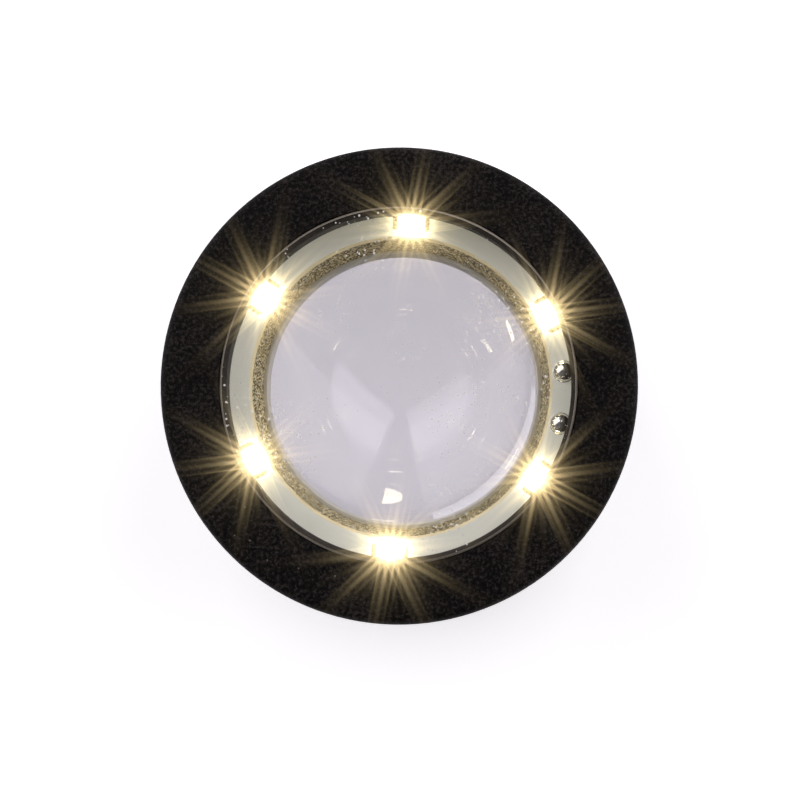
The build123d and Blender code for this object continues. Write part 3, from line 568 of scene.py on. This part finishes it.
def make_lights():
    tall = package_high - board_top
    well, well_floor, well_depth = 1.1 * MM, 0.85 * MM, 0.3 * MM
    core_share = 0.4            # bright middle, as a share of the well
    radial, along, softening = 2.6 * MM, 3.6 * MM, 0.14 * MM
    wall_area = 0.5 * MM * MM   # only the four flat walls are larger than this
    bm = rounded_block(radial, along, 0, tall, softening)
    top = [f for f in bm.faces if f.calc_center_median().z > tall - 1e-6]
    bmesh.ops.delete(bm, geom=top, context="FACES_ONLY")
    rim = [e for e in bm.edges if e.is_boundary]
    steps = 24
    rings = []
    for radius, height in ((well, tall), (well_floor, tall - well_depth)):
        turn = [2 * pi * n / steps for n in range(steps)]
        rings.append([bm.verts.new((radius * cos(a), radius * sin(a), height)) for a in turn])
    loop = [bm.edges.new((rings[0][n], rings[0][(n + 1) % steps])) for n in range(steps)]
    for n in range(steps):
        m = (n + 1) % steps
        bm.faces.new((rings[0][n], rings[0][m], rings[1][m], rings[1][n]))
    bm.faces.new(rings[1])
    bmesh.ops.triangle_fill(bm, edges=rim + loop, use_beauty=True)
    packages = ring_of(mesh_of(bm, "package"), led_count, led_ring_radius, led_first_angle,
                       board_top, PACKAGE_TOP)
    piece = finish_piece("light_packages", packages, "body", None, ("led_packages",))
    piece.data.materials.append(PACKAGE_SIDE)
    for polygon in piece.data.polygons:
        if abs(polygon.normal.z) < 0.3 and polygon.area > wall_area:
            polygon.material_index = 1

    bm = bmesh.new()
    base = [bm.verts.new((well_floor * cos(2 * pi * n / steps), well_floor * sin(2 * pi * n / steps), 0))
            for n in range(steps)]
    crown = [bm.verts.new((v.co.x * 1.2, v.co.y * 1.2, well_depth * 0.75)) for v in base]
    core = [bm.verts.new((v.co.x * core_share, v.co.y * core_share, well_depth * 0.9)) for v in base]
    bm.faces.new(base)
    bm.faces.new(core)
    for n in range(steps):
        m = (n + 1) % steps
        bm.faces.new((base[n], base[m], crown[m], crown[n]))
        bm.faces.new((crown[n], crown[m], core[m], core[n]))
    fill = ring_of(mesh_of(bm, "fill"), led_count, led_ring_radius, led_first_angle,
                   package_high - well_depth, PHOSPHOR)
    piece = finish_piece("light_phosphors", fill, "body", None, ("led_phosphors",))
    piece.data.materials.append(PHOSPHOR_CORE)
    for polygon in piece.data.polygons:
        if polygon.normal.z > 0.5 and len(polygon.vertices) == steps:
            polygon.material_index = 1


def make_terminals():
    """Bright soldered ends: each wraps the end of its package like a bracket."""
    bm = bmesh.new()
    reach, out = 1.1 * MM, 2.44 * MM
    inner, height, corner = 1.82 * MM, 0.4 * MM, 0.25 * MM
    for side in (-1, 1):
        outline = [(-reach, inner), (reach, inner), (reach, out - corner), (reach - corner, out),
                   (-reach + corner, out), (-reach, out - corner)]
        low = [bm.verts.new((x, side * y, 0)) for x, y in outline]
        high = [bm.verts.new((x * 0.9, side * y, height if y == inner else height * 0.25))
                for x, y in outline]
        bm.faces.new(low)
        bm.faces.new(high)
        for n in range(len(outline)):
            m = (n + 1) % len(outline)
            bm.faces.new((low[n], low[m], high[m], high[n]))
    ends = ring_of(mesh_of(bm, "terminals"), led_count, led_ring_radius, led_first_angle,
                   board_top, SOLDER)
    finish_piece("light_terminals", ends, "body", None, ("led_terminals",))


def make_solder_domes():
    """Two solder domes, each with a thin skirt where it meets the ring."""
    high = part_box("solder_domes")[1].z - board_top
    steps, rows = 32, 12
    bm = bmesh.new()
    for side in (-1, 1):
        middle = Vector((dome_ring_radius * cos(dome_angle), side * dome_ring_radius * sin(dome_angle), 0))
        profile = [(1.5 * MM, 0.0)]
        for n in range(rows + 1):
            t = n / rows
            profile.append((1.38 * MM * cos(t * pi / 2), 0.06 * MM + (high - 0.06 * MM) * sin(t * pi / 2)))
        rings = []
        for radius, height in profile:
            level = board_top + height
            if radius < 1e-7:
                rings.append([bm.verts.new(middle + Vector((0, 0, level)))])
                continue
            turn = [2 * pi * n / steps for n in range(steps)]
            rings.append([bm.verts.new(middle + Vector((radius * cos(a), radius * sin(a), level)))
                          for a in turn])
        bm.faces.new(rings[0])
        for lower, upper in zip(rings, rings[1:]):
            for n in range(steps):
                corners = [lower[n], lower[(n + 1) % steps]]
                corners += [upper[(n + 1) % len(upper)], upper[n % len(upper)]]
                bm.faces.new(list(dict.fromkeys(corners)))
    finish_piece("supply_solder_domes", mesh_of(bm, "domes"), "body",
                 SOLDER, ("solder_domes",), 60)


# ---------------------------------------------------------------- lenses and barrel
def lens_face(lowest, curve, clear, steps):
    """A polished face that rises from its lowest point on the axis to its clear radius."""
    radii = [clear * n / steps for n in range(steps + 1)]
    return [(r, lowest + curve - sqrt(curve**2 - r**2)) for r in radii]


def make_lenses():
    """Page lens, nearly flat above and deeply domed below, and eye lens, a deep meniscus."""
    steps = 48
    outer = lens_high.x
    seat = lens_high.z - lens_lip
    above_curve, under_curve, under_clear = 126.2 * MM, 27.2 * MM, 18.37 * MM
    above_z = lens_high.z - (above_curve - sqrt(above_curve**2 - lens_clear**2))
    under = lens_face(lens_low.z, under_curve, under_clear, steps)
    above = lens_face(above_z, above_curve, lens_clear, steps)
    edge = [(outer, under[-1][1]), (outer, seat), (lens_opening, seat)]
    page = finish_piece("page_lens_polished", lathe(under + edge + above[::-1], closed=False), "body",
                        LENS_CLEAR, ("page_lens",), 12)
    frost_rim(page, lens_clear)

    above_curve, under_curve, eye_clear = 61.8 * MM, 33.7 * MM, 18.3 * MM
    above_z = eye_high.z - (above_curve - sqrt(above_curve**2 - eye_clear**2))
    under = lens_face(eye_low.z, under_curve, eye_clear, steps)
    above = lens_face(above_z, above_curve, eye_clear, steps)
    edge = [(outer, under[-1][1]), (outer, eye_high.z)]
    eye = finish_piece("eye_lens_polished", lathe(under + edge + above[::-1], closed=False), "body",
                       LENS_CLEAR, ("eye_lens",), 12)
    frost_rim(eye, eye_clear)


def frost_rim(piece, clear_radius):
    """The ground rim outside a lens's polished faces."""
    piece.data.materials.append(GROUND_EDGE)
    for polygon in piece.data.polygons:
        if hypot(polygon.center.x, polygon.center.y) > clear_radius:
            polygon.material_index = 1


def make_barrel():
    """The barrel, with fine light-trapping steps in the cone above the lens."""
    seat = lens_high.z - lens_lip
    cone_low = seat + 0.37 * MM
    flange_low = board_low.z - 0.8 * MM
    bore = 19.5 * MM
    trap = []
    step_count = 14
    for n in range(step_count):
        t = n / step_count
        radius = lens_opening + (board_hole_radius - lens_opening) * t
        height = cone_low + (board_low.z - cone_low) * t
        trap += [(radius, height), (radius + 0.02 * MM, height + 0.14 * MM)]
    profile = [
        (board_hole_radius, board_low.z),
        (board_radius, board_low.z),
        (board_radius, flange_low),
        (barrel_radius, flange_low),
        (barrel_radius, barrel_low.z + 0.3 * MM),
        (barrel_radius - 0.3 * MM, barrel_low.z),
        (bore, barrel_low.z),
        (bore, seat),
        (lens_opening, seat),
    ] + trap
    barrel = finish_piece("lens_barrel_turned", lathe(profile), "body", BARREL_BLACK,
                          ("lens_barrel",), 30)
    # the cone faces above the lens seat take the painted LED light and glints
    barrel.data.materials.append(BARREL_THROAT_PAINTED_LIGHT)
    for polygon in barrel.data.polygons:
        middle = polygon.center
        if middle.z > seat - 0.01 * MM and hypot(middle.x, middle.y) < board_hole_radius:
            polygon.material_index = 1


# ---------------------------------------------------------------- eye side
def make_eye_cup():
    low, high = cup_low.z, 5.0 * MM
    tongue = cup_high.z
    profile = [(20.2 * MM, high)]
    profile += arc((21.3 * MM, 0.8 * MM), 0.8 * MM, 180, 270)
    profile += arc((24.2 * MM, 1.0 * MM), 1.0 * MM, 270, 360)
    profile += [
        (25.2 * MM, 1.8 * MM), (24.75 * MM, 2.1 * MM), (24.7 * MM, 2.6 * MM), (24.8 * MM, 3.0 * MM),
        (25.6 * MM, 3.4 * MM), (25.7 * MM, 3.6 * MM), (25.7 * MM, high), (24.55 * MM, high),
        (24.55 * MM, tongue), (23.05 * MM, tongue), (23.05 * MM, high),
    ]
    cup = lathe(profile)
    rib = rounded_block(0.5 * MM, 0.7 * MM, 1.9 * MM, 3.3 * MM, 0.12 * MM)
    rib_count, rib_ring_radius = 60, 24.85 * MM
    ribs = ring_of(mesh_of(rib, "rib"), rib_count, rib_ring_radius, 0.0, low, RUBBER)
    bm = bmesh.new()
    bm.from_mesh(cup)
    bm.from_mesh(ribs)
    joined = bpy.data.meshes.new("cup")
    bm.to_mesh(joined)
    bm.free()
    finish_piece("ribbed_eye_cup", joined, "body", RUBBER, ("eye_cup",), 40)


def make_casing():
    """Casing and moving pieces; the cover's lit face has a blacker, more mottled finish."""
    cover = smoothed_copy("front_bezel", "body", BLACK_MOULDING)
    cover.data.materials.append(BLACK_FACE)
    for polygon in cover.data.polygons:
        if polygon.center.z > face_z - edge_round:
            polygon.material_index = 1
    smoothed_copy("body_shell", "body", BLACK_MOULDING, 0.12 * MM)
    smoothed_copy("rear_cover", "body", BLACK_MOULDING)
    smoothed_copy("assembly_screws", "body", SCREW)
    smoothed_copy("lens_retaining_ring", "body", ANODISED)
    smoothed_copy("battery_cap", "cap", BLACK_MOULDING, 0.1 * MM)
    smoothed_copy("power_button", "button", GREY_BUTTON)


INNER_FINISHES = {
    "window_gasket": GASKET,
    "lens_spacer": NATURAL_NYLON,
    "battery_holder": HOUSING_WHITE,
    "negative_contact": NICKEL,
    "positive_clip": NICKEL,
    "inner_cell": CELL_STEEL,
    "outer_cell": CELL_STEEL,
    "cap_pad": FOAM,
    "switch_plunger": SWITCH_BLACK,
    "push_switch": SWITCH_BLACK,
    "switch_board": GREEN_BOARD,
    "switch_resistors": RESISTOR,
    "light_wire_red": RED_WIRE,
    "light_wire_black": BLACK_WIRE,
    "battery_wire_red": RED_WIRE,
}


def coat_inner_pieces():
    for node, material in INNER_FINISHES.items():
        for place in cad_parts[node].material_slots:
            place.material = material


# ---------------------------------------------------------------- floor, camera and lights
def make_floor():
    bm = bmesh.new()
    half, drop = 1.5, 0.05 * MM
    square = ((-1, -1), (1, -1), (1, 1), (-1, 1))
    corners = [bm.verts.new((x * half, y * half, -drop)) for x, y in square]
    bm.faces.new(corners)
    mesh = bpy.data.meshes.new("floor")
    bm.to_mesh(mesh)
    bm.free()
    floor = bpy.data.objects.new("floor", mesh)
    bpy.context.scene.collection.objects.link(floor)
    material, tree, shader = start_material("pale_floor")
    cloud = noise(tree, 6.0, 2.0)
    tree.links.new(ramp(tree, cloud, (0.3, (0.90, 0.90, 0.90)), (0.7, (0.92, 0.92, 0.92))),
                   shader.inputs["Base Color"])
    shader.inputs["Roughness"].default_value = 0.9
    shader.inputs["Specular IOR Level"].default_value = 0.1
    shader.inputs["Emission Color"].default_value = (1.0, 0.985, 1.0, 1)
    shader.inputs["Emission Strength"].default_value = FLOOR_GLOW
    mesh.materials.append(material)


def make_camera():
    """Nearly straight down the optical axis, leaning a few degrees from one side."""
    distance, lean, roll, side = 0.45, radians(4.4), radians(3.75), radians(-47.6)
    across = Vector((cos(roll), sin(roll), 0))
    upward = Vector((-sin(roll), cos(roll), 0))
    aim = Vector((0, 0, face_z))
    towards = across * cos(side) + upward * sin(side)
    back = towards * sin(lean) + Vector((0, 0, cos(lean)))
    data = bpy.data.cameras.new("camera")
    data.sensor_width = 36.0
    seen_width = 2 * face_radius * 1.6685
    data.lens = data.sensor_width * distance / seen_width
    data.shift_x, data.shift_y = 0.0025, -0.0192
    camera = bpy.data.objects.new("camera", data)
    bpy.context.scene.collection.objects.link(camera)
    right = upward.cross(back).normalized()
    over = back.cross(right).normalized()
    turned = Matrix((right, over, back)).transposed().to_4x4()
    camera.matrix_world = Matrix.Translation(aim + back * distance) @ turned
    data.clip_start, data.clip_end = 0.01, 20.0
    bpy.context.scene.camera = camera


def softbox(name, place, size, power, colour, turn):
    """An area lamp that faces the origin, turned about its own axis by degrees."""
    data = bpy.data.lights.new(name, "AREA")
    data.shape = "RECTANGLE"
    data.size, data.size_y = size
    data.energy = power
    data.color = colour
    lamp = bpy.data.objects.new(name, data)
    bpy.context.scene.collection.objects.link(lamp)
    lamp.location = place
    facing = Vector(place).to_track_quat("Z", "Y").to_matrix()
    lamp.rotation_euler = (facing @ Matrix.Rotation(radians(turn), 3, "Z")).to_euler()


def make_sky():
    """Bright low down and dark overhead, so that the flat black face stays black."""
    world = bpy.data.worlds.new("studio")
    world.use_nodes = True
    tree = world.node_tree
    sky = tree.nodes["Background"]
    where = tree.nodes.new("ShaderNodeTexCoord")
    split = tree.nodes.new("ShaderNodeSeparateXYZ")
    tree.links.new(where.outputs["Generated"], split.inputs[0])
    tone = ramp(tree, split.outputs["Z"], (0.0, (0.95, 0.94, 0.97)), (0.35, (0.55, 0.54, 0.58)),
                (0.8, (0.16, 0.155, 0.18)))
    tree.links.new(tone, sky.inputs["Color"])
    sky.inputs["Strength"].default_value = 0.45
    bpy.context.scene.world = world


def glare(tree, image, source, kind, gain, **settings):
    """Add what the bright parts of the source give off, times the gain, to the image."""
    node = tree.nodes.new("CompositorNodeGlare")
    node.glare_type = kind
    node.quality = "HIGH"
    for name, value in settings.items():
        node.inputs[name.replace("_", " ")].default_value = value
    tree.links.new(source, node.inputs["Image"])
    both = tree.nodes.new("CompositorNodeMixRGB")
    both.blend_type = "ADD"
    both.inputs["Fac"].default_value = gain
    tree.links.new(image, both.inputs[1])
    tree.links.new(node.outputs["Glare"], both.inputs[2])
    return both.outputs["Image"]


def make_glare():
    """Warm rays and a soft bloom round the lights, as a small aperture gives."""
    scene = bpy.context.scene
    scene.use_nodes = True
    tree = scene.node_tree
    tree.nodes.clear()
    source = tree.nodes.new("CompositorNodeRLayers").outputs["Image"]
    image = source
    for turn, gain, fade in RAY_SETS:
        image = glare(tree, image, source, "STREAKS", gain, Threshold=RAY_THRESHOLD, Tint=RAY_TINT,
                      Streaks=RAY_COUNT, Streaks_Angle=radians(turn), Iterations=4, Fade=fade,
                      Color_Modulation=0.2)
    image = glare(tree, image, source, "FOG_GLOW", BLOOM_GAIN, Threshold=BLOOM_THRESHOLD,
                  Tint=BLOOM_TINT, Size=0.1)
    result = tree.nodes.new("CompositorNodeComposite")
    tree.links.new(image, result.inputs["Image"])


def make_softboxes():
    """Two boxes, turned so that their mirror images in the lens leave a dark V between them."""
    size, power, colour, turn = (1.4, 1.9), 13.0, (1.0, 0.97, 1.0), 58
    for name, side in (("left_softbox", -1), ("right_softbox", 1)):
        softbox(name, (side * 0.95, 0.5, 0.85), size, power, colour, -side * turn)


def set_look():
    """Colours as they are, with no film curve."""
    look = bpy.context.scene.view_settings
    look.view_transform = "Standard"
    look.look = "None"


make_camera()
make_floor()
make_window()
make_light_ring()
make_lights()
make_terminals()
make_solder_domes()
make_lenses()
make_barrel()
make_eye_cup()
make_casing()
coat_inner_pieces()
make_softboxes()
set_look()
make_sky()
make_glare()
